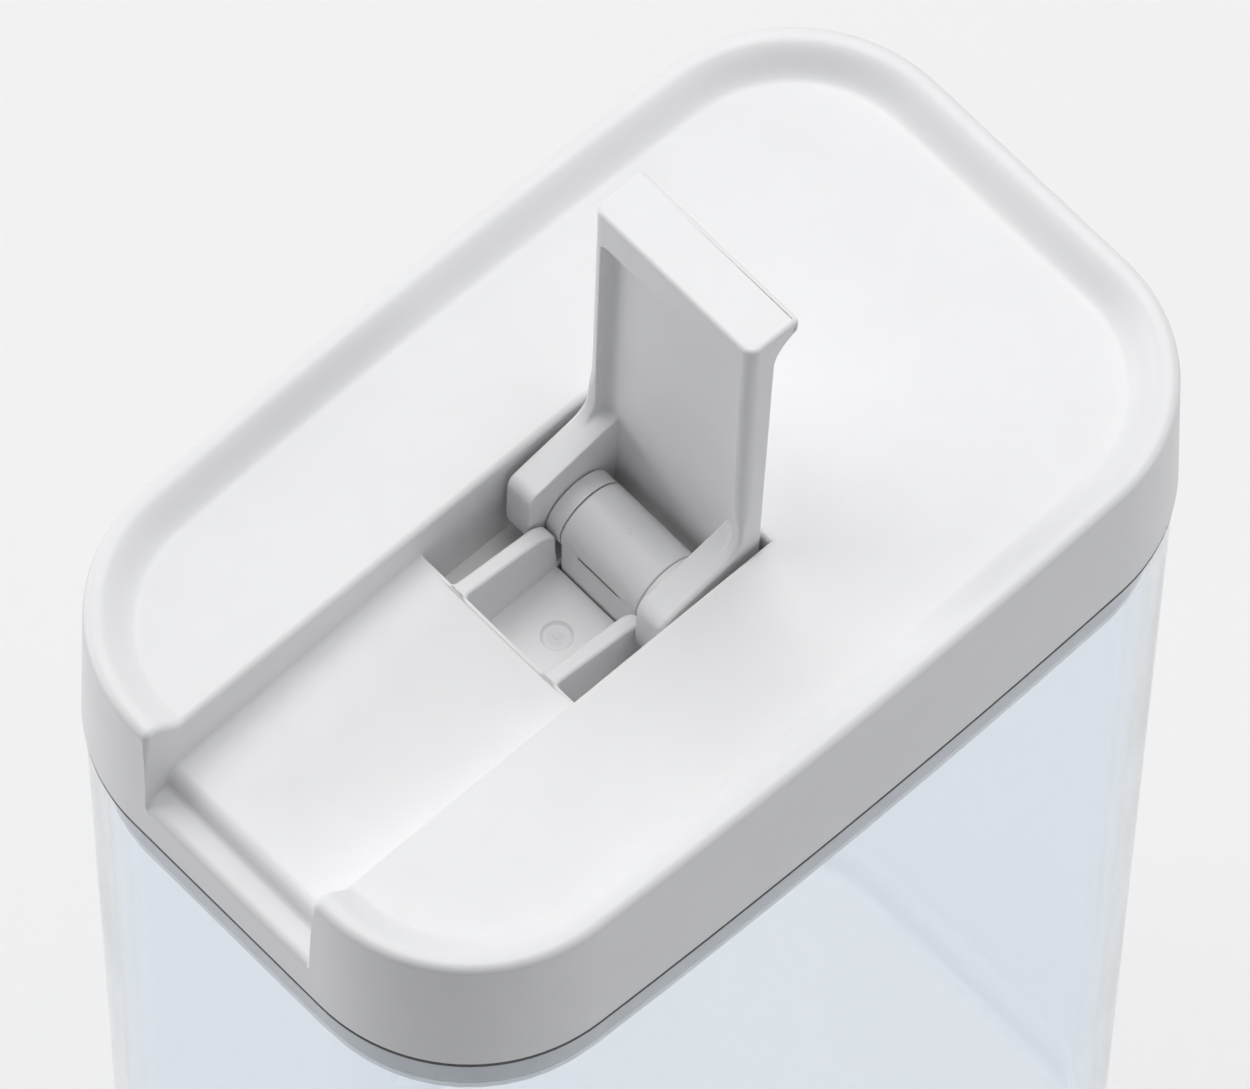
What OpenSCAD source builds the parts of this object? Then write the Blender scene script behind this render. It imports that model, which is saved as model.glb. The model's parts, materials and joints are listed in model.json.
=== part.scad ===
// Clear cereal container with a flip lever lid.
// Origin: centre of the container's underside. +Z is up, +X across, and -Y towards the lid's
// front, where the lever's channel runs out through the rim. The lever is drawn standing up,
// with the seal released.

/* [Outline] */
// Width of the lid across the middle of its long sides, at the skirt's bottom edge
lid_w = 104; // [96:1:140]
// Length of the lid at the skirt's bottom edge
lid_l = 165; // [165:1:220]
// Radius of the lid's upright corners
corner_r = 30; // [26:1:34]
// How far each long side bows outwards between its corners
side_bow = 1; // [0.5:0.1:2]

/* [Container] */
// Height of the clear container by itself
body_h = 230; // [120:5:320]
// Thickness of the clear walls
body_t = 2.4; // [1.8:0.2:3]
// Thickness of the container's bottom
base_t = 3; // [2:0.5:6]
// How far the container's wall stands back from the lid's skirt
body_step = 0.5; // [0.2:0.1:1]
// How much further in each wall is at the bottom than at the mouth
body_taper = 3.9; // [0:0.1:6]
// Outer radius between the walls and the bottom
base_r = 7; // [4:0.5:10]
// Rounding of the container's top edge
mouth_r = 0.6; // [0.3:0.1:0.8]

/* [Lid cover] */
// Height of the lid cover, from the skirt's bottom edge to the rim's top
lid_h = 29.4; // [28.4:0.2:34]
// Thickness of the lid's mouldings
wall = 2.2; // [1.6:0.1:2.6]
// How much further in the skirt is at its top than at its bottom
skirt_draft = 0.7; // [0.2:0.1:1.5]
// Depth of the dish inside the rim
dish_depth = 4.2; // [2:0.2:5]
// Outer rounding of the rim
rim_r = 1.6; // [1:0.1:2]
// Distance from the skirt's face to where the rim's inner slope begins
rim_crest = 2.2; // [2.1:0.1:3]
// Width of the soft slope from the rim down to the dish
rim_slope = 6; // [3:0.5:9]
// Rounding along the edges of the lever's channel
channel_edge_r = 1.2; // [0.5:0.1:1.6]
// Gap between the lever and each side of its channel
channel_gap = 1.1; // [0.5:0.1:2]
// Height of the channel's floor at its back, over the skirt's bottom edge
deck_back_z = 17; // [15:0.5:18]
// Height of the channel's floor at its front
deck_front_z = 13.3; // [13.3:0.1:15]
// Height of the finger ledge in front of the channel
ledge_z = 9.8; // [8:0.1:9.8]

/* [Lever] */
// Width of the flip lever
lever_w = 34.2; // [32:0.2:38]
// Distance from the hinge axis to the lever's tip
lever_l = 74.7; // [66:0.1:77]
// Distance from the hinge axis to the lever's outer face, the one on top when it is shut
lever_back = 10.7; // [9.5:0.1:11]
// Thickness of the lever at the root of its rails
lever_t = 4.5; // [4:0.1:5]
// Extra thickness of the rails at the tip
lever_gain = 1.1; // [0:0.1:1.5]
// Thickness of the panel between the rails
panel_t = 2.5; // [1.5:0.1:3]
// Width of each rail
rail_w = 2.2; // [1.8:0.1:3]
// Rounding along the rails' outer edges
rail_r = 2; // [1:0.1:2.2]
// Height of the flared lip at the tip over the lever's outer face
lip_h = 4.4; // [3:0.1:5]
// Thickness of the flared lip along the lever
lip_t = 3.2; // [2:0.1:5]
// Width of each cam arm, across the lid
arm_t = 5.35; // [4:0.05:5.7]
// Distance from the hinge axis to the cam faces that hold the lever shut
cam_shut = 9.8; // [9:0.1:10.5]
// How far the cams lift the plunger when the lever is shut
cam_rise = 3; // [2:0.1:3.4]
// Angle that the lever turns through, from standing to shut
fold = 92; // [88:1:94]

/* [Hinge] */
// Place of the hinge axis along the lid, from its middle
axis_y = -0.8; // [-4:0.1:2]
// Height of the hinge axis over the skirt's bottom edge, lever standing
axis_z = 11.2; // [11:0.1:13]
// Radius of the pivot pin
pin_r = 2; // [1.5:0.1:2.5]
// Radius of the pull block's barrel
barrel_r = 6.35; // [5:0.05:6.4]
// Width of the pull block
block_w = 16.8; // [14:0.2:17]

/* [Seals] */
// Thickness of the dark ring between the skirt and the container
seal_t = 1.1; // [0.8:0.1:2]
// Height of the expanding gasket when it is relaxed
gasket_h = 7; // [6:0.5:9]
// Width of the expanding gasket's section
gasket_w = 5.8; // [4:0.2:6]

/* [Screws] */
// Radius of the screws' shanks
screw_r = 1.4; // [1.2:0.1:1.6]
// Radius of the screws' heads
screw_head_r = 2.7; // [2.4:0.1:3]
// Height of the screws' heads
screw_head_h = 1.4; // [1:0.1:1.6]

/* [Hidden] */
$fn = 64;

// Clearances
slide_gap = 0.3;       // between pieces that slide past each other
pin_gap = 0.05;        // round the pivot pin in the pull block
pin_seat_gap = 0.02;   // round the pivot pin in the lever's arms
screw_gap = 0.05;      // round a screw in its hole
over = 1;              // overrun of the cuts

// Facets: along a corner, a long side, a fillet, the rim's slope and the cams
n_corner = 12;
n_side = 6;
n_fillet = 4;
n_slope = 6;
n_cam = 12;

// The lid's heights, over the skirt's bottom edge
lid_z = body_h + seal_t;               // the skirt's bottom edge over the container's underside
dish_z = lid_h - dish_depth;
ceiling_z = dish_z - wall;

// Centres of the arcs that make up the outline
corner_y = lid_l / 2 - corner_r;
side_r = (corner_y * corner_y + side_bow * side_bow) / (2 * side_bow);
side_x = lid_w / 2 - side_r;
corner_x = side_x + sqrt(pow(side_r - corner_r, 2) - corner_y * corner_y);
side_a = atan2(corner_y, corner_x - side_x);

// The lever's channel and the finger ledge at its front
channel_x = lever_w / 2 + channel_gap;
deck_r = 2.4;                          // rounding of the channel floor's front edge
front_back = 5;                        // front wall of the channel, behind the skirt's foot
ledge_r = 1.8;                         // rounding of the ledge into the skirt's face
ledge_fillet = 1;                      // fillet between the front wall and the ledge
front_y = -lid_l / 2;
front_wall_y = front_y + front_back;
face_y = front_y + skirt_draft * ledge_z / lid_h;
top_y = front_y + skirt_draft;
under_in = skirt_draft + max(wall, rim_crest);
edge_a = 65;                           // where the edges' rounding runs out into the flat

// The lever's shape, drawn shut: its length along -Y and its outer face up
lean = fold - 90;                      // how far the standing lever leans back
root_v = lever_back - lever_t;         // inner face of the rails at their root
tip_v = root_v - lever_gain;           // inner face of the rails at the tip
panel_v = lever_back - panel_t;        // inner face of the panel
arm_in = lever_w / 2 - arm_t;
rail_in = lever_w / 2 - rail_w;
cam_stand = cam_shut - cam_rise;       // from the axis to the cams' foot, lever standing
cam_k = cam_rise / (fold * PI / 180);  // lift per radian of turn
arm_top_back = 14.8;                   // upper edge of an arm where it meets the rail
arm_top_front = 10.9;                  // upper edge of an arm at its front
arm_tilt = atan((arm_top_back - arm_top_front) / (root_v + cam_shut));
arm_corner_r = 2.5;
arm_fillet_r = 4;
lip_slope = 5.9;                       // length of the slope up to the flared lip
lip_a = 75;                            // how steep that slope ends
root_fillet_r = 1;                     // fillet between an arm and the panel
strip_l = 8.4;                         // solid strip at the tip, before the panel is let in
let_in = 2.2;                          // how far the panel is let in there
let_in_r = 0.8;                        // fillet at the end of the recess
tip_r = 0.8;
heel_turn = 28;                        // how far the panel runs round behind the axis
boss_gap = 0.2;                        // between an arm's boss and the pull block
boss_under = 0.05;                     // how much smaller than the barrel the bosses are

// The pocket round the hinge
pocket_reach = 25.5;                   // from the hinge axis to the pocket's front wall
pocket_front_y = axis_y - pocket_reach;
pocket_back_y = axis_y + lever_back * cos(lean) + (dish_z - axis_z) * sin(lean) + slide_gap;
pocket_floor_z = 2.6;
slot_floor_z = axis_z - cam_stand - slide_gap;
rib_t = 2.7;                           // thickness of the two ribs beside the barrel
rib_in = block_w / 2 + slide_gap;
rib_front_drop = 0.2;                  // from the channel's floor to the ribs at their front
rib_back_drop = 2;                     // and at their back
rib_end_r = 4.5;
rib_end_y = axis_y - barrel_r - slide_gap;
mark_y = -15.4;                        // round mould mark in the pocket's floor
mark_r = 2.6;
mark_d = 0.3;
mark_nub_r = 0.7;
mark_nub_h = 0.7;

// The frame under the lid cover, and the screws that hold it
plug_gap = 0.6;                        // between the frame and the container's mouth
frame_in = body_step + body_t + plug_gap;
frame_t = 1.5;                         // thickness of the frame's wall
frame_gap = 0.3;                       // between the frame and the skirt
frame_up = 6;                          // height of the frame's wall inside the skirt
flange_drop = 4;                       // underside of the frame's flange
flange_t = 2;
flange_in = 18;                        // inset of the flange's inner edge
seal_in = 0.1;                         // inset of the rim seal
post_r = 3.4;
post_in = 13.5;                        // inset of the screw posts
pilot_l = 12;
pilot_spare = 1;                       // a pilot hole's depth beyond its screw
recess_r = 1.3;                        // drive recess in the screws' heads
recess_d = 0.8;

// The gasket and the plunger that squeezes it
gasket_z = -flange_drop - gasket_h;    // the gasket's underside, and the plate's top
lip_groove = 0.6;                      // depth of the grooves between the gasket's lips
lip_flat = 1.3;                        // height of the top and bottom lips
plate_t = 2.2;
plate_in = frame_in + slide_gap;
plate_edge_r = 1;
plate_ring_gap = 0.1;                  // inside the gasket
plate_ring_t = 2;
plate_ring_h = 2;
plate_rib_t = 1.6;
plate_rib_h = 1;
plate_rib_x = 20;
plate_rib_y = 38;
plate_sink = 0.5;                      // how deep the ring and ribs run into the plate

// The pull block's foot, on four posts of the plunger plate
foot_half = 15;
foot_t = 2.2;
foot_post_h = 3.5;
foot_post_r = 3.2;
foot_screw = 11.2;                     // from the block's middle to its screws, both ways
foot_bite = 1.2;                       // how far the screw holes reach into the plate itself
foot_spare = 0.5;                      // their depth beyond the screws
foot_z = gasket_z + foot_post_h;
column_in = 0.05;                      // how much the column stands in from the barrel
core_wall = 2.4;                       // walls round the hollow inside the block
slit_w = 9;                            // slit in the barrel's front
slit_h = 0.8;
slit_d = 1.5;
slit_drop = 0.7;                       // from the axis down to the slit

pin_inset = 0.3;                       // pin's ends behind the arms' faces
pin_chamfer = 0.4;

// Points on an arc about x, y, from one angle to another, leaving out those before the first
function arc(x, y, r, from, to, n, first = 0) =
    [for (k = [first : n]) let (a = from + (to - from) * k / n) [x + r * cos(a), y + r * sin(a)]];

// The lid's outline drawn in by an inset; every ring of a moulding has as many points
function outline(inset) = concat(
    arc(side_x, 0, side_r - inset, -side_a, side_a, n_side, 1),
    arc(corner_x, corner_y, corner_r - inset, side_a, 90, n_corner, 1),
    arc(-corner_x, corner_y, corner_r - inset, 90, 180 - side_a, n_corner),
    arc(-side_x, 0, side_r - inset, 180 - side_a, 180 + side_a, n_side, 1),
    arc(-corner_x, -corner_y, corner_r - inset, 180 + side_a, 270, n_corner, 1),
    arc(corner_x, -corner_y, corner_r - inset, 270, 360 - side_a, n_corner));

function ring_points(rings) = [for (g = rings) for (p = outline(g[0])) [p[0], p[1], g[1]]];

// Faces between m rows of n points each, from each row to the next
function ring_faces(n, m, closed) =
    [for (g = [0 : m - (closed ? 1 : 2)]) for (k = [0 : n - 1])
        let (h = (g + 1) % m, j = (k + 1) % n) [g * n + k, h * n + k, h * n + j, g * n + j]];

function cap_faces(n, m) = [[for (k = [0 : n - 1]) k], [for (k = [n - 1 : -1 : 0]) (m - 1) * n + k]];

// A moulding that follows the outline, through rings of [inset, height], capped at both ends
module moulding(rings) {
    n = len(outline(0));
    m = len(rings);
    polyhedron(points = ring_points(rings), faces = concat(cap_faces(n, m), ring_faces(n, m, false)),
               convexity = 10);
}

// A ring that follows the outline, with a section of [inset, height] that goes up its outside
module hoop(section)
    polyhedron(points = ring_points(section), faces = ring_faces(len(outline(0)), len(section), true),
               convexity = 10);

// A solid between x0 and x1 with its outline given in Y and Z
module slab(x0, x1, points)
    translate([x0, 0, 0]) rotate([90, 0, 90]) linear_extrude(x1 - x0) polygon(points);

module both_sides() for (s = [0, 1]) mirror([s, 0, 0]) children();

module on_lid() translate([0, 0, lid_z]) children();

// The six screw posts: one at each corner and one at the middle of each long side
module at_posts() {
    d = (corner_r - post_in) * cos(45);
    for (i = [-1, 1], j = [-1, 1]) translate([i * (corner_x + d), j * (corner_y + d), 0]) children();
    for (i = [-1, 1]) translate([i * (lid_w / 2 - post_in), 0, 0]) children();
}

module at_foot_screws()
    for (i = [-1, 1], j = [-1, 1]) translate([i * foot_screw, axis_y + j * foot_screw, 0]) children();

// A screw pointing up, its head's underside at zero
module screw(length) difference() {
    union() {
        translate([0, 0, -screw_head_h]) cylinder(r = screw_head_r, h = screw_head_h);
        cylinder(r = screw_r, h = length);
    }
    translate([0, 0, -screw_head_h]) for (a = [0, 90]) rotate([0, 0, a])
        cube([2 * recess_r, recess_r / 2, 2 * recess_d], center = true);
}

function body_in(z) = body_step + body_taper * (body_h - z) / body_h;

module container() {
    in_r = base_r - body_t;
    outer = [for (k = [0 : n_fillet]) let (a = 90 * k / n_fillet)
        [body_in(base_r) + base_r * (1 - sin(a)), base_r * (1 - cos(a))]];
    inner = [for (k = [n_fillet : -1 : 0]) let (a = 90 * k / n_fillet)
        [body_in(base_t + in_r) + body_t + in_r * (1 - sin(a)), base_t + in_r * (1 - cos(a))]];
    mouth = [[body_in(body_h), body_h - mouth_r], [body_in(body_h) + mouth_r, body_h],
             [body_in(body_h) + body_t - mouth_r, body_h], [body_in(body_h) + body_t, body_h - mouth_r]];
    color([0.85, 0.89, 0.92, 0.4]) moulding(concat(outer, mouth, inner));
}

// The cover's skirt, rim and dish, hollow underneath
module cover_shell() {
    under = [for (k = [n_slope : -1 : 0]) let (s = k / n_slope)
        [under_in + rim_slope * s, ceiling_z + dish_depth * (1 + cos(180 * s)) / 2]];
    rim = [for (k = [0 : n_fillet]) let (a = 90 * k / n_fillet)
        [skirt_draft + rim_r * (1 - sin(90 - a)), lid_h - rim_r + rim_r * sin(a)]];
    slope = [for (k = [0 : n_slope]) let (s = k / n_slope)
        [skirt_draft + rim_crest + rim_slope * s, dish_z + dish_depth * (1 + cos(180 * s)) / 2]];
    moulding(concat(under, [[wall, 0], [0, 0]], rim, slope));
}

// The walls and floors round the channel and the pocket, before they are cut out
module channel_block() slab(-channel_x - wall, channel_x + wall, [
    [top_y + wall / 2, lid_h - wall / 2],
    [top_y + wall / 2, ledge_z - ledge_r - wall],
    [front_wall_y + wall, ledge_z - wall],
    [front_wall_y + wall + deck_r, deck_front_z - wall],
    [pocket_front_y - wall, deck_back_z - wall],
    [pocket_front_y - wall, pocket_floor_z - wall],
    [pocket_back_y + wall, pocket_floor_z - wall],
    [pocket_back_y + wall, ceiling_z + wall / 2],
    [front_y + under_in + rim_slope, ceiling_z + wall / 2],
    [front_y + under_in, lid_h - wall / 2]]);

// The channel and the slots that the cam arms turn in
module channel_cut() slab(-channel_x, channel_x, concat(
    [[pocket_back_y, slot_floor_z], [pocket_front_y, slot_floor_z], [pocket_front_y, deck_back_z]],
    [for (k = [0 : n_fillet]) let (a = 90 * k / n_fillet)
        [front_wall_y + deck_r * (1 - sin(a)), deck_front_z - deck_r * (1 - cos(a))]],
    [for (k = [0 : n_fillet]) let (a = 90 * k / n_fillet)
        [front_wall_y - ledge_fillet * (1 - cos(a)), ledge_z + ledge_fillet * (1 - sin(a))]],
    [for (k = [0 : n_fillet]) let (a = 90 * k / n_fillet)
        [face_y + ledge_r * (1 - sin(a)), ledge_z - ledge_r * (1 - cos(a))]],
    [[front_y - over, ledge_z - ledge_r], [front_y - over, lid_h + over],
     [pocket_back_y, lid_h + over]]));

// The rounding of an edge between a wall at zero and a top at zero, running on past both
function edge_line(r) = let (last = r * (sin(edge_a) - 1)) concat(
    [[0, -r]],
    [for (k = [1 : n_fillet]) let (a = edge_a * k / n_fillet) [r * (1 - cos(a)), r * (sin(a) - 1)]],
    [[r * (1 - cos(edge_a)) + (over - last) * tan(edge_a), over]]);

function edge_reach(r) = edge_line(r)[n_fillet + 1][0];

// The cover's top along the channel, back to front as [y, flare of the walls, bottom, top]
function edge_stations() = let (
    r = channel_edge_r,
    low = ledge_z + ledge_fillet,
    high = dish_z - r - over) concat(
    [[pocket_back_y + edge_reach(r) + over, 0, high, dish_z]],
    [for (k = [n_slope : -1 : 0]) let (s = k / n_slope, y = top_y + rim_crest + rim_slope * s)
        [y, 0, y > front_wall_y ? high : low, dish_z + dish_depth * (1 + cos(180 * s)) / 2]],
    [[top_y + rim_r, 0, low, lid_h]],
    [for (k = [1 : n_fillet]) let (a = edge_a * k / n_fillet)
        [top_y + rim_r * (1 - sin(a)), r * (1 - cos(a)), low, lid_h - rim_r * (1 - cos(a))]],
    [[top_y - over, r * (1 - cos(edge_a)) + over * tan(edge_a), low, lid_h - rim_r]]);

// Rounds the channel's edges round the dish, over the rim and down the skirt's face
module edge_cut() difference() {
    side_edges_cut();
    back_edge();
}

module side_edges_cut() {
    line = edge_line(channel_edge_r);
    rows = [for (s = edge_stations()) let (x = channel_x + s[1]) concat(
        [[x, s[0], s[2]]],
        [for (p = line) [x + p[0], s[0], s[3] + p[1]]],
        [for (k = [len(line) - 1 : -1 : 0]) [-x - line[k][0], s[0], s[3] + line[k][1]]],
        [[-x, s[0], s[2]]])];
    n = len(rows[0]);
    m = len(rows);
    polyhedron(points = [for (r = rows) for (p = r) p],
               faces = concat(cap_faces(n, m), ring_faces(n, m, false)), convexity = 10);
}

// What stays behind the pocket, where the two side edges meet the back edge in mitres
module back_edge() {
    half = channel_x + edge_reach(channel_edge_r) + over;
    back = pocket_back_y + edge_reach(channel_edge_r) + 2 * over;
    low = dish_z - channel_edge_r - 2 * over;
    slab(-half, half, concat(
        [[pocket_back_y, low]],
        [for (p = edge_line(channel_edge_r)) [pocket_back_y + p[0], dish_z + p[1]]],
        [[back, dish_z + over], [back, low]]));
}

// One of the two upright ribs between the barrel and the arms' slots
module pocket_rib() slab(rib_in, rib_in + rib_t, concat(
    [[pocket_front_y - wall / 2, pocket_floor_z - wall / 2], [rib_end_y, pocket_floor_z - wall / 2]],
    arc(rib_end_y - rib_end_r, deck_back_z - rib_back_drop - rib_end_r, rib_end_r, 0, 90, n_fillet),
    [[pocket_front_y - wall / 2, deck_back_z - rib_front_drop]]));

module lid_cover() color([0.93, 0.93, 0.93]) on_lid() {
    difference() {
        union() {
            cover_shell();
            channel_block();
            at_posts() translate([0, 0, flange_t - flange_drop])
                cylinder(r = post_r, h = ceiling_z + wall / 2 - flange_t + flange_drop);
        }
        channel_cut();
        edge_cut();
        slab(-rib_in, rib_in, [[pocket_back_y, pocket_floor_z], [pocket_front_y, pocket_floor_z],
            [pocket_front_y, slot_floor_z + over], [pocket_back_y, slot_floor_z + over]]);
        translate([-rib_in, rib_end_y, pocket_floor_z - wall - over])
            cube([2 * rib_in, 2 * (axis_y - rib_end_y), wall + 2 * over]);
        translate([0, mark_y, pocket_floor_z - mark_d]) cylinder(r = mark_r, h = mark_d + over);
        at_posts() translate([0, 0, flange_t - flange_drop - over])
            cylinder(r = screw_r + screw_gap, h = pilot_l + over);
    }
    both_sides() pocket_rib();
    translate([0, mark_y, pocket_floor_z - mark_d - wall / 2])
        cylinder(r = mark_nub_r, h = mark_nub_h + wall / 2);
}

// The dark ring that shows as a line between the skirt and the container
module rim_seal() color([0.42, 0.43, 0.44]) on_lid()
    hoop([[seal_in, -seal_t], [seal_in, 0], [frame_in, 0], [frame_in, -seal_t]]);

module lid_frame() color([0.88, 0.88, 0.89]) on_lid() difference() {
    hoop([[frame_in, -flange_drop], [frame_in, 0], [wall + frame_gap, 0], [wall + frame_gap, frame_up],
          [frame_in + frame_t, frame_up], [frame_in + frame_t, flange_t - flange_drop],
          [flange_in, flange_t - flange_drop], [flange_in, -flange_drop]]);
    at_posts() translate([0, 0, -flange_drop - over])
        cylinder(r = screw_r + screw_gap, h = flange_t + 2 * over);
}

module frame_screws() color([0.7, 0.7, 0.72]) on_lid()
    at_posts() translate([0, 0, -flange_drop]) screw(flange_t + pilot_l - pilot_spare);

module gasket() {
    mid = gasket_z + gasket_h / 2;
    top = -flange_drop;
    color([0.75, 0.76, 0.77]) on_lid() hoop([
        [frame_in, gasket_z], [frame_in, gasket_z + lip_flat],
        [frame_in + lip_groove, gasket_z + lip_flat + lip_groove],
        [frame_in, mid - lip_groove], [frame_in, mid + lip_groove],
        [frame_in + lip_groove, top - lip_flat - lip_groove],
        [frame_in, top - lip_flat], [frame_in, top],
        [frame_in + gasket_w, top], [frame_in + gasket_w, gasket_z]]);
}

module plunger_plate() {
    ring_in = frame_in + gasket_w + plate_ring_gap;
    rib_x = lid_w / 2 - ring_in - plate_ring_t / 2;
    rib_y = lid_l / 2 - ring_in - plate_ring_t / 2;
    color([0.9, 0.9, 0.91]) on_lid() difference() {
        union() {
            moulding(concat(
                [for (k = [0 : n_fillet]) let (a = 90 * k / n_fillet, z = gasket_z - plate_t)
                    [plate_in + plate_edge_r * (1 - sin(a)), z + plate_edge_r * (1 - cos(a))]],
                [[plate_in, gasket_z]]));
            hoop([[ring_in, gasket_z - plate_sink], [ring_in, gasket_z + plate_ring_h],
                  [ring_in + plate_ring_t, gasket_z + plate_ring_h],
                  [ring_in + plate_ring_t, gasket_z - plate_sink]]);
            both_sides() translate([plate_rib_x - plate_rib_t / 2, -rib_y, gasket_z - plate_sink])
                cube([plate_rib_t, 2 * rib_y, plate_rib_h + plate_sink]);
            for (j = [-1, 1]) translate([-rib_x, j * plate_rib_y - plate_rib_t / 2, gasket_z - plate_sink])
                cube([2 * rib_x, plate_rib_t, plate_rib_h + plate_sink]);
            at_foot_screws() translate([0, 0, gasket_z - plate_sink])
                cylinder(r = foot_post_r, h = foot_post_h + plate_sink);
        }
        at_foot_screws() translate([0, 0, gasket_z - foot_bite])
            cylinder(r = screw_r + screw_gap, h = foot_bite + foot_post_h + over);
    }
}

// The barrel that the lever pulls up, with its column and its foot
module pull_block() color([0.9, 0.9, 0.9]) on_lid() difference() {
    union() {
        translate([-block_w / 2, axis_y, axis_z]) rotate([0, 90, 0]) cylinder(r = barrel_r, h = block_w);
        translate([-block_w / 2, axis_y - barrel_r + column_in, foot_z])
            cube([block_w, 2 * (barrel_r - column_in), axis_z - foot_z]);
        translate([-foot_half, axis_y - foot_half, foot_z]) cube([2 * foot_half, 2 * foot_half, foot_t]);
    }
    translate([-block_w / 2 - over, axis_y, axis_z]) rotate([0, 90, 0])
        cylinder(r = pin_r + pin_gap, h = block_w + 2 * over);
    translate([core_wall - block_w / 2, axis_y - barrel_r + core_wall, foot_z - over])
        cube([block_w - 2 * core_wall, 2 * (barrel_r - core_wall),
              axis_z - pin_r - core_wall - foot_z + over]);
    translate([-slit_w / 2, axis_y - barrel_r - over, axis_z - slit_drop - slit_h / 2])
        cube([slit_w, slit_d + over, slit_h]);
    at_foot_screws() translate([0, 0, foot_z - over])
        cylinder(r = screw_r + screw_gap, h = foot_t + 2 * over);
}

// Screws down through the block's foot into the plunger plate's posts
module block_screws() color([0.7, 0.7, 0.72]) on_lid() at_foot_screws()
    translate([0, 0, foot_z + foot_t]) mirror([0, 0, 1])
        screw(foot_t + foot_post_h + foot_bite - foot_spare);

module pivot_pin() {
    half = lever_w / 2 - pin_inset;
    color([0.75, 0.75, 0.77]) on_lid() translate([-half, axis_y, axis_z]) rotate([0, 90, 0])
        rotate_extrude() polygon([[0, 0], [pin_r - pin_chamfer, 0], [pin_r, pin_chamfer],
            [pin_r, 2 * half - pin_chamfer], [pin_r - pin_chamfer, 2 * half], [0, 2 * half]]);
}

// The cams' curve, from the face that holds the lever shut round to the foot that it stands on
function cam_line() = [for (k = [0 : n_cam]) let (b = fold * k / n_cam, h = cam_shut - cam_rise * k / n_cam)
    [h * sin(b) - cam_k * cos(b), -h * cos(b) - cam_k * sin(b)]];

function heel_line() = arc(0, 0, lever_back, lean + acos(cam_stand / lever_back), 90, n_cam);

// The outer face with its flared lip, then round the tip to its inner edge
function lip_line() = let (
    top = lever_back + lip_h,
    foot = lever_l - lip_t - lip_slope) concat(
    [for (k = [0 : n_cam]) let (a = lip_a * k / n_cam)
        [-foot - lip_slope * sin(a) / sin(lip_a), lever_back + lip_h * (1 - cos(a)) / (1 - cos(lip_a))]],
    arc(tip_r - lever_l, top - tip_r, tip_r, 90, 180, n_fillet),
    arc(tip_r - lever_l, tip_v + tip_r, tip_r, 180, 270, n_fillet));

// The solid strip at the tip, and the step from it down to the panel
function strip_line() = let (
    tip_y = tip_r - lever_l,
    root_y = arm_line(root_v, arm_fillet_r)[0][0],
    y = strip_l - lever_l,
    v = tip_v + lever_gain * (y - tip_y) / (root_y - tip_y)) concat(
    [[y, v]],
    arc(y + let_in_r, v + let_in - let_in_r, let_in_r, 180, 90, n_fillet));

// An arm's upper edge, between the inner face that it grows from and the cam's shut face
function arm_line(face, fillet_r) = let (
    edge = arm_top_back + (face - fillet_r - root_v) * tan(arm_tilt),
    corner = arm_top_front + arm_corner_r * tan(arm_tilt)) concat(
    arc(-edge - fillet_r / cos(arm_tilt), face - fillet_r, fillet_r, 90, arm_tilt, n_cam),
    arc(arm_corner_r / cos(arm_tilt) - corner, arm_corner_r - cam_shut, arm_corner_r,
        180 + arm_tilt, 270, n_fillet));

// Rounds the outer edge of a rail, from its root to the tip
module rail_edge_cut() {
    start = arm_top_back + arm_fillet_r;
    translate([lever_w / 2, -start, root_v]) rotate([atan(lever_gain / (lever_l - start)), 0, 0])
        rotate([90, 0, 0]) linear_extrude(lever_l - start + over) difference() {
            translate([-rail_r, -over]) square([rail_r + over, rail_r + over]);
            translate([-rail_r, rail_r]) circle(r = rail_r);
        }
}

module flip_lever() color([0.92, 0.92, 0.92]) on_lid() translate([0, axis_y, axis_z])
    rotate([-fold, 0, 0]) difference() {
        union() {
            both_sides() {
                slab(rail_in, lever_w / 2, concat(cam_line(), heel_line(), lip_line(),
                    arm_line(root_v, arm_fillet_r)));
                slab(arm_in, rail_in, concat(cam_line(), heel_line(), lip_line(), strip_line(),
                    arm_line(panel_v, root_fillet_r)));
                translate([block_w / 2 + boss_gap, 0, 0]) rotate([0, 90, 0])
                    cylinder(r = barrel_r - boss_under, h = arm_in + arm_t / 2 - block_w / 2 - boss_gap);
            }
            slab(-arm_in, arm_in, concat(
                arc(0, 0, lever_back, 90 - heel_turn, 90, n_fillet), lip_line(), strip_line(),
                [arm_line(panel_v, root_fillet_r)[0]], arc(0, 0, panel_v, 90, 90 - heel_turn, n_fillet)));
        }
        both_sides() rail_edge_cut();
        translate([-lever_w / 2 - over, 0, 0]) rotate([0, 90, 0])
            cylinder(r = pin_r + pin_seat_gap, h = lever_w + 2 * over);
    }

container();
lid_cover();
rim_seal();
lid_frame();
frame_screws();
gasket();
plunger_plate();
pull_block();
block_screws();
pivot_pin();
flip_lever();
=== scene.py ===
"""Looks for the clear storage container with a flip lever lid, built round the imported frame."""

import bmesh
import bpy
import json
from math import acos, atan, atan2, cos, pi, radians, sin, sqrt, tan
from mathutils import Matrix, Vector


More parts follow.
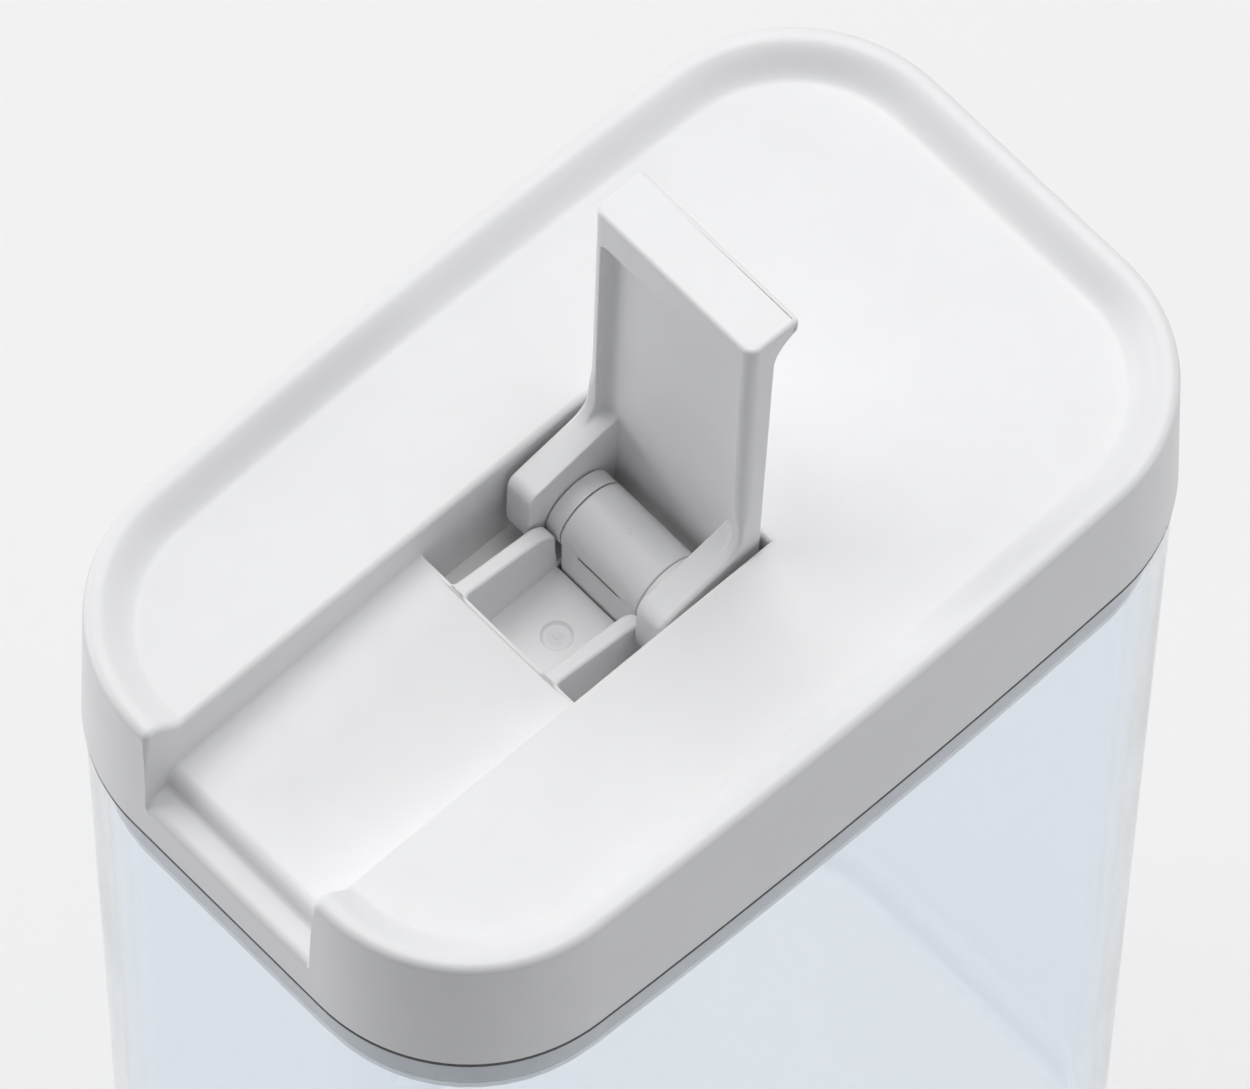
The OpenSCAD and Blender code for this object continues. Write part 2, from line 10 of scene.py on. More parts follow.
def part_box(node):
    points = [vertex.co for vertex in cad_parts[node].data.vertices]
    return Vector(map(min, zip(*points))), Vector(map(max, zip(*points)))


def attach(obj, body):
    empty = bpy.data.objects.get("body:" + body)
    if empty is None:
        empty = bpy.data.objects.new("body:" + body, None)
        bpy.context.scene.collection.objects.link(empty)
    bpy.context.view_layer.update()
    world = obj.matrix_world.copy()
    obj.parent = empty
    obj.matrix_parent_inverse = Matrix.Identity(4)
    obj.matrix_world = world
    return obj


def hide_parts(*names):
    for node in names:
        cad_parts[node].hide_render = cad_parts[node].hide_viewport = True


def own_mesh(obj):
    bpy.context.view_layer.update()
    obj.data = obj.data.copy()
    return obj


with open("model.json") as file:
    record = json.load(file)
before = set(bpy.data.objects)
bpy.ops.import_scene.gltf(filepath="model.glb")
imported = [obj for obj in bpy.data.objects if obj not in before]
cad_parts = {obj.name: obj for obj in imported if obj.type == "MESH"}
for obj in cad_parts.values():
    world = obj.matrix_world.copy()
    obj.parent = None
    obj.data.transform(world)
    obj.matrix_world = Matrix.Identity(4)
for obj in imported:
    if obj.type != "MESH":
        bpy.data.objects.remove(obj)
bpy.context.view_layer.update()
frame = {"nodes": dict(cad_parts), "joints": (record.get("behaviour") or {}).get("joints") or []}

bl_info = {
    "name": "Lever lid container",
    "version": (1, 0, 0),
    "blender": (4, 5, 0),
    "location": "3D View > Sidebar > Container",
    "description": "Models a clear storage container with a white flip lever lid, and a plain studio",
    "category": "Object",
}

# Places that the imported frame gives
LID_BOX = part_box("lid_cover")
LEVER_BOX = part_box("flip_lever")
BLOCK_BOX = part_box("pull_block")
SKIRT_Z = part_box("rim_seal")[1].z
MOUTH_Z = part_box("container")[1].z
TURN = [j for j in frame["joints"] if j["name"] == "lever_turn"][0]
HINGE = Vector(TURN["pos_m"])
FOLD = radians(TURN["range_deg"][1])

PIN_R = (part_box("pivot_pin")[1].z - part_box("pivot_pin")[0].z) / 2
BARREL_R = BLOCK_BOX[1].z - HINGE.z

MM = 0.001
MERGE = 0.004 * MM
ALONG_X = (0, pi / 2, 0)

# Small sizes of the lid cover
FIT = 0.3 * MM
CLEAR = 1 * MM
SLIVER = 0.005 * MM
RIB_DROP = 2 * MM
RIB_TURN = 85
POST_FOOT = 2 * MM
RIM_STEPS, SLOPE_STEPS, UNDER_STEPS = 12, 24, 8
MARK_RINGS = [(0.16, 0.8), (0.32, 1), (0.48, 0.8), (0.6, 0.45), (0.72, 0.3), (0.86, 0.25)]
MARK_FLARE = 0.8

# Small sizes of the lever
POINT_GAP = 1.2 * MM
OVERRUN = 3 * MM
TIP_NEAR_MM = 1.5
HEEL_TURN = 62
HEEL_CLEAR, BACK_CLEAR = 1 * MM, 2 * MM
LIP_TURN = 75
EDGE_BREAK = 0.3 * MM
BOSS_GAP = 0.2 * MM
BOSS_GROOVE_W, BOSS_GROOVE_D = 0.3 * MM, 0.8 * MM
LEVER_PIN_FIT = 0.02 * MM
RAIL_BLEND = 5 * MM
ARM_STEPS = 16

# Small sizes of the pull block
BLOCK_SINK = 0.05 * MM
BLOCK_PIN_FIT = 0.05 * MM
BARREL_EDGE = 0.35 * MM
COLUMN_R, FOOT_R = 0.6 * MM, 2 * MM
FOOT_H = 2.2 * MM
GROOVE_HALF = 4.5 * MM
GROOVE = [(-1, 0), (0, 0), (0.8, -2.2), (0.8, -3), (0.2, -1.05), (-0.05, -1.9), (-1, -1.9)]

# The nubs on the barrel and in the mould mark: radius, and how deep each centre sits
NUB_R = 0.9 * MM
GATE_SINK, MARK_SINK = 0.72 * MM, 0.75 * MM

# The photograph's camera, aimed from the middle of the skirt's foot
AZIMUTH, ELEVATION, ROLL = radians(46.373), radians(62.168), radians(0.969)
DISTANCE = 2.61972
SHIFT_RIGHT, SHIFT_UP = 1.048 * MM, -5.72 * MM
SENSOR, LENS = 36, 500.2
FAR = 20

# The lamps: name, place, size and power, all aimed at one point
LAMPS = [("overhead", (-0.25, 0.4, 1.7), 1.5, 20.8), ("left", (-1.3, -0.8, 0.6), 0.9, 8.5),
         ("right back", (1.2, 0.9, 0.6), 0.9, 3)]
LAMP_AIM = Vector((0, 0, 0.24))
AMBIENT, AMBIENT_STRENGTH = (0.94, 0.96, 1, 1), 0.18
FLOOR_SIZE, FLOOR_GLOW = 6, 0.75


# Settings that a user would change

def length(name, description, millimetres, least=0):
    return bpy.props.FloatProperty(name=name, description=description, default=millimetres * MM,
                                   min=least, unit="LENGTH", precision=5)


def colour(name, description, red, green, blue):
    return bpy.props.FloatVectorProperty(name=name, description=description, subtype="COLOR",
                                         min=0, max=1, default=(red, green, blue))


def share(name, description, default):
    return bpy.props.FloatProperty(name=name, description=description, default=default,
                                   min=0, max=1, subtype="FACTOR")


class LidSizes(bpy.types.PropertyGroup):
    corner_r: length("Corner radius", "Radius of the lid's upright corners", 30)
    side_bow: length("Side bow", "How far each long side bows outwards", 1)
    wall: length("Wall", "Thickness of the white mouldings", 2.2)
    draft: length("Skirt draft", "How much further in the skirt is at its top", 0.7)
    dish_depth: length("Dish depth", "Depth of the dish inside the rim", 4.2)
    rim_r: length("Rim rounding", "Outer rounding of the rim", 1.6)
    rim_crest: length("Rim crest", "From the skirt's face to where the inner slope begins", 2.2)
    rim_slope: length("Rim slope", "Width of the soft slope down to the dish", 6)
    edge_r: length("Channel edge", "Rounding along the edges of the lever's channel", 1.2)
    gap: length("Channel gap", "Gap between the lever and each side of its channel", 1.1)
    deck_back: length("Deck back", "Height of the channel's floor at its back", 17)
    deck_front: length("Deck front", "Height of the channel's floor at its front", 13.3)
    deck_r: length("Deck rounding", "Rounding of the channel floor's front edge", 2.4)
    ledge: length("Ledge", "Height of the finger ledge", 9.8)
    ledge_fall: length("Ledge fall", "Fall of the ledge from the front wall to the skirt's face", 1.4)
    ledge_r: length("Ledge rounding", "Rounding of the ledge into the skirt's face", 1.8)
    ledge_fillet: length("Ledge fillet", "Fillet between the front wall and the ledge", 1.4)
    foot_r: length("Channel fillet", "Fillet along the foot of the channel's side walls", 0.8)
    front_back: length("Front wall", "Front wall of the channel behind the skirt's foot", 5)
    pocket_reach: length("Pocket reach", "From the hinge to the pocket's front wall", 25.5)
    pocket_floor: length("Pocket floor", "Height of the pocket's floor", 2.6)
    rib: length("Rib", "Thickness of the ribs beside the barrel", 2.7)
    rib_end: length("Rib end", "Rounding of the ribs' ends", 4.5)
    pull_gap: length("Pull gap", "Gap between the barrel and the cover", 0.3)
    post_r: length("Post", "Radius of the screw posts", 3.4)
    post_in: length("Post inset", "From the lid's side to the screw posts", 13.5)
    mark_y: length("Mark place", "Place of the round mould mark along the lid", -15.4, -1)
    mark_r: length("Mark", "Radius of the round mould mark in the pocket", 2.6)
    mark_d: length("Mark depth", "Depth of the round mould mark", 0.7)
    seal_in: length("Rim seal inset", "From the skirt's face to the inside of the dark ring", 3.5)
    gasket_w: length("Gasket", "Width of the gasket's section", 5.8)
    gasket_r: length("Gasket rounding", "Rounding of the gasket's edges", 1.4)
    pocket_r: length("Pocket corners", "Rounding of the pocket's and slots' corners, seen from above", 1)
    pocket_edge: length("Pocket edges", "Rounding of the rims of the pocket and the ribs", 0.6)


class LeverSizes(bpy.types.PropertyGroup):
    reach: length("Reach", "From the hinge axis to the lever's tip", 74.7)
    back: length("Back", "From the hinge axis to the lever's outer face", 10.7)
    thick: length("Thickness", "Thickness at the root of the rails", 4.5)
    gain: length("Gain", "Extra thickness of the rails at the tip", 1.1)
    panel: length("Panel", "Thickness of the panel between the rails", 2.5)
    rail: length("Rail", "Width of each rail", 2.2)
    rail_r: length("Rail rounding", "Rounding along the rails' outer edges", 2)
    lip_h: length("Lip height", "Height of the flared lip over the outer face", 4.4)
    lip_t: length("Lip thickness", "Thickness of the flared lip along the lever", 3.2)
    arm: length("Arm", "Width of each cam arm", 5.35)
    cam_shut: length("Cam", "From the axis to the cam faces that hold it shut", 9.8)
    cam_rise: length("Cam rise", "How far the cams lift the plunger", 3)
    arm_back: length("Arm back", "Upper edge of an arm where it meets the rail", 14.8)
    arm_front: length("Arm front", "Upper edge of an arm at its front", 10.9)
    arm_corner: length("Arm corner", "Rounding of an arm's upper front corner", 2.5)
    arm_fillet: length("Arm fillet", "Fillet between an arm and its rail", 4)
    lip_slope: length("Lip slope", "Length of the slope up to the flared lip", 5.9)
    strip: length("Tip strip", "Solid strip at the tip, before the panel is let in", 8.4)
    let_in: length("Let in", "How far the panel is let in behind the rails", 2.2)
    let_in_r: length("Let in fillet", "Fillet at the end of the recess", 0.8)
    edge_r: length("Edges", "Rounding of the lever's other edges", 0.8)
    tip_edge: length("Tip edge", "Rounding all round the tip's end face", 0.8)
    boss_r: length("Boss", "Radius of the bosses beside the barrel", 6.3)
    barrel_half: length("Barrel", "Half the width of the barrel between the bosses", 8.4)
    recess_r: length("Recess corners", "Rounding of the recess's corners at the tip", 1.2)
    recess_edge: length("Recess fillet", "Fillet between the rails and the panel", 0.6)
    root_r: length("Panel fillet", "Fillet between the panel and the arms", 1)


class ContainerSizes(bpy.types.PropertyGroup):
    wall: length("Wall", "Thickness of the clear walls", 2.4)
    base: length("Base", "Thickness of the container's bottom", 3)
    step: length("Step", "How far the wall stands back from the skirt", 0.5)
    taper: length("Taper", "How much further in each wall is at the bottom", 3.9)
    base_r: length("Base rounding", "Outer radius between the walls and the bottom", 7)
    mouth_r: length("Mouth rounding", "Rounding of the top edge", 0.8)


class Finishes(bpy.types.PropertyGroup):
    white: colour("White plastic", "The lid cover, the lever and the block", 0.86, 0.86, 0.865)
    inner: colour("Inner plastic", "The frame and the plunger", 0.8, 0.8, 0.81)
    clear: colour("Clear plastic", "Tint of the container", 0.91, 0.955, 1)
    # The rim seal's near-black colour is partly the seal's own dark grey and partly painted shade of the
    # shadow gap under the skirt.
    seal: colour("Rim seal", "The dark ring under the skirt", 0.035, 0.036, 0.039)
    gasket: colour("Gasket", "The ring that is squeezed against the walls", 0.42, 0.43, 0.44)
    steel: colour("Steel", "The pin and the screws", 0.62, 0.62, 0.64)
    background: colour("Background", "What the camera sees round the object", 0.91, 0.91, 0.915)
    satin: share("Satin", "Roughness of the white plastic", 0.42)
    inner_satin: share("Inner satin", "Roughness of the frame and the plunger", 0.5)
    seal_dull: share("Seal", "Roughness of the dark ring", 0.6)
    gasket_dull: share("Gasket dullness", "Roughness of the gasket", 0.55)
    polish: share("Polish", "Roughness of the steel", 0.32)


SETTINGS = {"lid_sizes": LidSizes, "lever_sizes": LeverSizes, "container_sizes": ContainerSizes,
            "finishes": Finishes}


# Selecting and drawing

def alone(piece=None):
    """Leaves only this piece selected, or nothing."""
    if bpy.context.mode != "OBJECT":
        bpy.ops.object.mode_set(mode="OBJECT")
    bpy.ops.object.select_all(action="DESELECT")
    if piece:
        piece.select_set(True)
        bpy.context.view_layer.objects.active = piece


def edit(piece, mode="VERT"):
    """Opens only this piece in edit mode."""
    alone(piece)
    bpy.ops.object.mode_set(mode="EDIT")
    bpy.ops.mesh.select_mode(type=mode)


def pick(piece, kind, test):
    """Selects the faces, edges or vertices of the piece in edit mode that pass a test."""
    mesh = bmesh.from_edit_mesh(piece.data)
    for group in (mesh.verts, mesh.edges, mesh.faces):
        for item in group:
            item.select = False
    found = [item for item in getattr(mesh, kind) if test(item)]
    for item in found:
        item.select = True
    mesh.select_flush_mode()
    bmesh.update_edit_mesh(piece.data)
    return len(found)


def name_piece(name):
    """Names what was just added."""
    piece = bpy.context.object
    piece.name = name
    piece.data.name = name
    return piece


def draw(name, points):
    """A closed outline, drawn from one vertex by extruding it from point to point, and filled."""
    alone()
    bpy.ops.mesh.primitive_plane_add(size=MM)
    piece = name_piece(name)
    edit(piece)
    bpy.ops.mesh.select_all(action="SELECT")
    bpy.ops.mesh.merge(type="CENTER")
    bpy.ops.transform.translate(value=points[0])
    for a, b in zip(points, points[1:] + points[:1]):
        extrude(b - a)
    bpy.ops.mesh.select_all(action="SELECT")
    bpy.ops.mesh.remove_doubles(threshold=MERGE)
    bpy.ops.mesh.edge_face_add()
    return piece


def extrude(way):
    """Pulls what is selected out by a way."""
    bpy.ops.mesh.extrude_region_move(TRANSFORM_OT_translate={"value": way})


def face_outwards():
    """Turns all faces of the piece in edit mode outwards."""
    bpy.ops.mesh.select_all(action="SELECT")
    bpy.ops.mesh.normals_make_consistent(inside=False)


def prism(name, points, way):
    """A solid on a closed outline, pulled out by a way."""
    piece = draw(name, points)
    extrude(way)
    face_outwards()
    alone(piece)
    return piece


def slab(name, x0, x1, points, z=SKIRT_Z):
    """A solid between x0 and x1, with its outline given in Y and in heights over z."""
    return prism(name, [Vector((x0, p[0], z + p[1])) for p in points], (x1 - x0, 0, 0))


def upright(name, points, z0, z1):
    """A solid between two heights, with its outline seen from above."""
    return prism(name, [Vector((x, y, z0)) for x, y in points], (0, 0, z1 - z0))


def block(name, half_x, half_y, z0, z1, base=0):
    """A plain block on the hinge's line, with its heights given over a base."""
    alone()
    bpy.ops.mesh.primitive_cube_add(size=1, location=(0, HINGE.y, base + (z0 + z1) / 2))
    piece = name_piece(name)
    piece.scale = (2 * half_x, 2 * half_y, z1 - z0)
    bpy.ops.object.transform_apply()
    return piece


def nub(name, y, z):
    """A small ball, most of it sunk, such as moulding leaves."""
    alone()
    bpy.ops.mesh.primitive_uv_sphere_add(segments=24, ring_count=12, radius=NUB_R, location=(0, y, z))
    piece = name_piece(name)
    bpy.ops.object.transform_apply()
    return piece


def cylinder(name, r, depth, place, turn=(0, 0, 0), steps=64):
    """A round bar about its middle, upright unless it is turned."""
    alone()
    bpy.ops.mesh.primitive_cylinder_add(vertices=steps, radius=r, depth=depth, location=place,
                                        rotation=turn)
    piece = name_piece(name)
    bpy.ops.object.transform_apply()
    return piece


def cut(piece, tool, operation="DIFFERENCE"):
    """Cuts a tool out of a piece or joins it on, and throws the tool away."""
    alone(piece)
    bpy.ops.object.modifier_add(type="BOOLEAN")
    boolean = piece.modifiers[-1]
    boolean.operation = operation
    boolean.object = tool
    boolean.solver = "EXACT"
    bpy.ops.object.modifier_apply(modifier=boolean.name)
    alone(tool)
    bpy.ops.object.delete()
    edit(piece)
    bpy.ops.mesh.select_all(action="SELECT")
    bpy.ops.mesh.remove_doubles(threshold=MERGE)
    alone(piece)


def join(piece, tool):
    """Adds a tool to a piece as one solid."""
    cut(piece, tool, "UNION")


def bevel_picked(r, steps):
    """Rounds the picked edges by the full radius, also where they are short."""
    bpy.ops.mesh.bevel(offset=r, offset_type="OFFSET", segments=steps, profile=0.5,
                       affect="EDGES", clamp_overlap=False)


def round_edges(piece, r, test, steps=4):
    """Rounds the edges whose two ends pass a test, given as places over the skirt's foot."""
    edit(piece, "EDGE")
    drop = Vector((0, 0, SKIRT_Z))
    if pick(piece, "edges", lambda e: test(e.verts[0].co - drop, e.verts[1].co - drop)
            and len(e.link_faces) == 2 and e.calc_face_angle(0) > radians(20)):
        bevel_picked(r, steps)
    alone(piece)


def spread(points, most, closed=True):
    """Adds points along the straight stretches, so that none is longer than most."""
    out = []
    for a, b in zip(points, points[1:] + points[:1] * closed):
        gap = Vector(b) - Vector(a)
        count = max(1, int(gap.length / most + 0.999))
        if gap.length > MERGE:
            out += [tuple(Vector(a) + gap * k / count) for k in range(count)]
    return out if closed else out + points[-1:]


def even(values, points, width):
    """Blends a value at each point of a closed outline with its neighbours within a width."""
    out = []
    for here in points:
        near = [(v, w) for v, p in zip(values, points)
                for w in [1 - (Vector(p) - Vector(here)).length / width] if w > 0]
        out.append(sum(v * w for v, w in near) / sum(w for v, w in near))
    return out


def inwards(points):
    """At each point of a closed outline, how far to go for its edges to move in by one."""
    n = len(points)
    area = sum(a[0] * b[1] - b[0] * a[1] for a, b in zip(points, points[1:] + points[:1]))
    side = 1 if area > 0 else -1
    out = []
    for k in range(n):
        before = (Vector(points[k]) - Vector(points[k - 1])).normalized()
        after = (Vector(points[(k + 1) % n]) - Vector(points[k])).normalized()
        a = Vector((-before.y, before.x)) * side
        b = Vector((-after.y, after.x)) * side
        out.append((a + b) / max(1 + a.dot(b), 0.5))
    return out


def pillow(name, x0, x1, points, radii, z, steps=6):
    """A solid between x0 and x1 whose two side edges are rounded by a radius at each point."""
    ways = inwards(points)

    def ring(x, up, k):
        a = pi / 2 * k / steps
        return [Vector((x + up * r * (1 - cos(a)), p[0] + w.x * r * (1 - sin(a)),
                        z + p[1] + w.y * r * (1 - sin(a))))
                for p, w, r in zip(points, ways, radii)]

    rings = [ring(x0, 1, k) for k in range(steps + 1)] + [ring(x1, -1, k) for k in range(steps, -1, -1)]
    piece = draw(name, rings[0])
    mesh = bmesh.from_edit_mesh(piece.data)
    order = mesh.verts.layers.int.new("order")
    for vert in mesh.verts:
        vert[order] = min(range(len(points)), key=lambda k: (rings[0][k] - vert.co).length_squared)
    for places in rings[1:]:
        extrude((MM, 0, 0))
        mesh = bmesh.from_edit_mesh(piece.data)
        order = mesh.verts.layers.int.get("order")
        for vert in mesh.verts:
            if vert.select:
                vert.co = places[vert[order]]
    bmesh.update_edit_mesh(piece.data)
    face_outwards()
    alone(piece)
    return piece


def soften(piece, r, test=lambda a, b: True, steps=3):
    """Rounds the sharp edges that stand out, where their two ends pass a test."""
    edit(piece, "EDGE")
    if pick(piece, "edges", lambda e: len(e.link_faces) == 2 and e.is_convex
            and e.calc_face_angle(0) > radians(35) and test(e.verts[0].co, e.verts[1].co)):
        bevel_picked(r, steps)
    alone(piece)


def smooth(piece, degrees=32):
    """Shades the piece smoothly, apart from edges sharper than an angle."""
    alone(piece)
    bpy.ops.object.shade_smooth_by_angle(angle=radians(degrees), keep_sharp_edges=False)
    bpy.ops.object.modifier_add(type="WEIGHTED_NORMAL")
    normals = piece.modifiers[-1]
    normals.keep_sharp = True
    normals.weight = 60
    bpy.ops.object.modifier_apply(modifier=normals.name)


def finish_piece(piece, body, nodes, material):
    """Gives the piece its material, and hangs it on the frame in place of its nodes."""
    piece.data.materials.clear()
    piece.data.materials.append(material)
    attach(piece, body)
    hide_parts(*nodes)


# Outlines

def arc(a, b, r, start, end, steps, first=0):
    """Points on an arc about a, b, between two angles in degrees."""
    turns = [radians(start + (end - start) * k / steps) for k in range(first, steps + 1)]
    return [(a + r * cos(t), b + r * sin(t)) for t in turns]


def rounded(corners, steps=8):
    """A closed outline of (a, b, radius) corners, with an arc at each that has a radius."""
    points = []
    for k, (a, b, r) in enumerate(corners):
        here = Vector((a, b))
        if not r:
            points.append((a, b))
            continue
        before = (Vector(corners[k - 1][:2]) - here).normalized()
        after = (Vector(corners[(k + 1) % len(corners)][:2]) - here).normalized()
        half = before.angle(after) / 2
        centre = here + (before + after).normalized() * r / sin(half)
        start = here + before * r / tan(half) - centre
        end = here + after * r / tan(half) - centre
        angle = atan2(start.y, start.x)
        turn = atan2(start.x * end.y - start.y * end.x, start.dot(end))
        points += [(centre.x + r * cos(angle + turn * i / steps),
                    centre.y + r * sin(angle + turn * i / steps)) for i in range(steps + 1)]
    return points


def outline(s, inset=0, corner_steps=24, side_steps=20):
    """The lid's outline seen from above, drawn in by an inset."""
    half_w = LID_BOX[1].x
    corner_y = LID_BOX[1].y - s.corner_r
    side_r = (corner_y ** 2 + s.side_bow ** 2) / (2 * s.side_bow)
    side_x = half_w - side_r
    corner_x = side_x + sqrt((side_r - s.corner_r) ** 2 - corner_y ** 2)
    a = atan2(corner_y, corner_x - side_x) * 180 / pi
    r = s.corner_r - inset
    right = arc(side_x, 0, side_r - inset, -a, a, side_steps, 1)
    right += arc(corner_x, corner_y, r, a, 90, corner_steps, 1)
    left = [(-x, y) for x, y in reversed(right[:-1])]
    left.insert(0, (-right[-1][0], right[-1][1]))
    left += [(-x, y) for x, y in arc(side_x, 0, side_r - inset, -a, -a, 1, 1)]
    left += arc(-corner_x, -corner_y, r, 180 + a, 270, corner_steps, 1)
    end = arc(corner_x, -corner_y, r, 270, 360 - a, corner_steps)
    return right + left + end


def heights(rows):
    """Turns rows of (inset, height) into steps of (further in, further up)."""
    return [(b[0] - a[0], b[1] - a[1]) for a, b in zip(rows, rows[1:])]


def go_in(steps, up):
    """Insets the selected face step by step, and moves it up or down with each."""
    for inwards, upwards in steps:
        bpy.ops.mesh.inset(thickness=max(inwards, 0), depth=upwards * up, use_even_offset=True,
                           use_boundary=True)


def stepped(name, points, z, rows, up):
    """A solid on a flat outline, stepping in by rows of (inset, height) from its open side."""
    piece = draw(name, [Vector((x, y, z + rows[0][1])) for x, y in points])
    face_up(piece, up)
    go_in(heights(rows), up)
    pick(piece, "edges", lambda e: len(e.link_faces) == 1)
    bpy.ops.mesh.edge_face_add()
    face_outwards()
    return piece


def moulding(name, s, z, outer, inner, up=1):
    """A shell on the lid's outline: rows of (inset, height) for its outside, then its inside."""
    points = outline(s, outer[0][0])
    piece = stepped(name, points, z, outer, up)
    rim_z = z + outer[0][1]
    bpy.ops.mesh.select_mode(type="FACE")
    pick(piece, "faces", lambda f: len(f.verts) == len(points)
         and abs(f.calc_center_median().z - rim_z) < MERGE)
    go_in(heights([outer[0]] + inner), -up)
    alone(piece)
    return piece


def ring(name, s, inset, width, z0, z1):
    """A closed ring along the lid's outline, of a plain section."""
    piece = draw(name, [Vector((x, y, z0)) for x, y in outline(s, inset)])
    face_up(piece, 1)
    bpy.ops.mesh.inset(thickness=width, depth=0, use_even_offset=True, use_boundary=True)
    bpy.ops.mesh.delete(type="FACE")
    bpy.ops.mesh.select_all(action="SELECT")
    extrude((0, 0, z1 - z0))
    face_outwards()
    alone(piece)
    return piece


def face_up(piece, up):
    """Turns the piece's one face to look up, or down for a negative up."""
    bpy.ops.mesh.select_mode(type="FACE")
    pick(piece, "faces", lambda f: True)
    if bmesh.from_edit_mesh(piece.data).faces[:][0].normal.z * up < 0:
        bpy.ops.mesh.flip_normals()


# Materials

def material(name):
    """A new material with its tree and its shader."""
    made = bpy.data.materials.new(name)
    made.use_nodes = True
    tree = made.node_tree
    return made, tree, tree.nodes["Principled BSDF"]


def noise(tree, scale, detail=3):
    """A noise in the piece's own coordinates."""
    place = tree.nodes.new("ShaderNodeTexCoord")
    made = tree.nodes.new("ShaderNodeTexNoise")
    made.inputs["Scale"].default_value = scale
    made.inputs["Detail"].default_value = detail
    tree.links.new(place.outputs["Object"], made.inputs["Vector"])
    return made


def span(tree, source, low, high):
    """Spreads a noise over a range of values."""
    made = tree.nodes.new("ShaderNodeMapRange")
    made.inputs["From Min"].default_value = 0.3
    made.inputs["From Max"].default_value = 0.7
    made.inputs["To Min"].default_value = low
    made.inputs["To Max"].default_value = high
    tree.links.new(source.outputs["Fac"], made.inputs["Value"])
    return made.outputs["Result"]


def tone(tree, source, dark, light):
    """A colour that drifts between two near tones."""
    ramp = tree.nodes.new("ShaderNodeValToRGB")
    ramp.color_ramp.elements[0].position = 0.35
    ramp.color_ramp.elements[1].position = 0.65
    ramp.color_ramp.elements[0].color = (*dark, 1)
    ramp.color_ramp.elements[1].color = (*light, 1)
    tree.links.new(source.outputs["Fac"], ramp.inputs["Fac"])
    return ramp.outputs["Color"]


def grain(tree, shader, source, strength, distance):
    """A fine bump over the whole surface."""
    bump = tree.nodes.new("ShaderNodeBump")
    bump.inputs["Strength"].default_value = strength
    bump.inputs["Distance"].default_value = distance
    tree.links.new(source.outputs["Fac"], bump.inputs["Height"])
    tree.links.new(bump.outputs["Normal"], shader.inputs["Normal"])


def drift(tree, shader, base, scale, detail, darkest):
    """Lets the base colour drift a little, down to a share of itself."""
    dark = [c * darkest for c in base]
    tree.links.new(tone(tree, noise(tree, scale, detail), dark, list(base)),
                   shader.inputs["Base Color"])


def gloss(tree, shader, scale, low, high):
    """Lets the roughness vary over the surface."""
    tree.links.new(span(tree, noise(tree, scale), low, high), shader.inputs["Roughness"])


def plastic(name, base, roughness):
    """Satin moulded plastic: a faint drift of tone, a fine mould grain and uneven gloss."""
    made, tree, shader = material(name)
    drift(tree, shader, base, scale=30, detail=4, darkest=0.975)
    gloss(tree, shader, scale=260, low=roughness - 0.05, high=roughness + 0.06)
    shader.inputs["IOR"].default_value = 1.48
    shader.inputs["Specular IOR Level"].default_value = 0.4
    grain(tree, shader, noise(tree, scale=5200, detail=2), strength=0.05, distance=0.06 * MM)
    return made


def clear_plastic(name, tint):
    """Clear moulded plastic with slow waves and a little haze."""
    made, tree, shader = material(name)
    shader.inputs["Base Color"].default_value = (*tint, 1)
    shader.inputs["Transmission Weight"].default_value = 0.94
    shader.inputs["IOR"].default_value = 1.46
    gloss(tree, shader, scale=60, low=0.01, high=0.04)
    grain(tree, shader, noise(tree, scale=9, detail=2), strength=0.25, distance=0.6 * MM)
    return made


def rubber(name, base, roughness):
    """Dull rubber with a fine grain."""
    made, tree, shader = material(name)
    drift(tree, shader, base, scale=120, detail=4, darkest=0.85)
    gloss(tree, shader, scale=700, low=roughness - 0.08, high=roughness + 0.08)
    grain(tree, shader, noise(tree, scale=3000, detail=2), strength=0.15, distance=0.1 * MM)
    return made


def metal(name, base, roughness):
    """Turned steel with faint blotches."""
    made, tree, shader = material(name)
    shader.inputs["Metallic"].default_value = 1
    drift(tree, shader, base, scale=500, detail=5, darkest=0.8)
    gloss(tree, shader, scale=1500, low=roughness - 0.08, high=roughness + 0.1)
    grain(tree, shader, noise(tree, scale=4000, detail=2), strength=0.12, distance=0.05 * MM)
    return made


def white_plastic():
    """The white plastic that the cover, the lever and the block share."""
    name = "white satin plastic"
    f = bpy.context.scene.finishes
    return bpy.data.materials.get(name) or plastic(name, f.white, f.satin)


# Pieces

class BuildContainer(bpy.types.Operator):
    """Models the clear container: tapered walls, rounded bottom and rounded mouth"""
    bl_idname = "container.body"
    bl_label = "Clear container"

    def execute(self, context):
        s = context.scene.lid_sizes
        c = context.scene.container_sizes

        def inset(z):
            return c.step + c.taper * (MOUTH_Z - z) / MOUTH_Z

        turns = [pi / 2 * k / 8 for k in range(9)]
        mouth = inset(MOUTH_Z)
        inner_r = c.base_r - c.wall
        outer = [(mouth, MOUTH_Z - c.mouth_r)]
        outer += [(inset(c.base_r) + c.base_r * (1 - sin(a)), c.base_r * (1 - cos(a)))
                  for a in reversed(turns)]
        inner = [(mouth + c.mouth_r * (1 - cos(a)), MOUTH_Z - c.mouth_r * (1 - sin(a)))
                 for a in turns[1:]]
        inner += [(mouth + c.wall - c.mouth_r * (1 - sin(a)), MOUTH_Z - c.mouth_r * (1 - cos(a)))
                  for a in turns]
        inner += [(inset(c.base + inner_r) + c.wall + inner_r * (1 - sin(a)),
                   c.base + inner_r * (1 - cos(a))) for a in reversed(turns)]
        piece = moulding("clear_container", s, 0, outer, inner, -1)
        smooth(piece, 40)
        clear = clear_plastic("clear plastic", context.scene.finishes.clear)
        finish_piece(piece, "container", ["container"], clear)
        return {"FINISHED"}


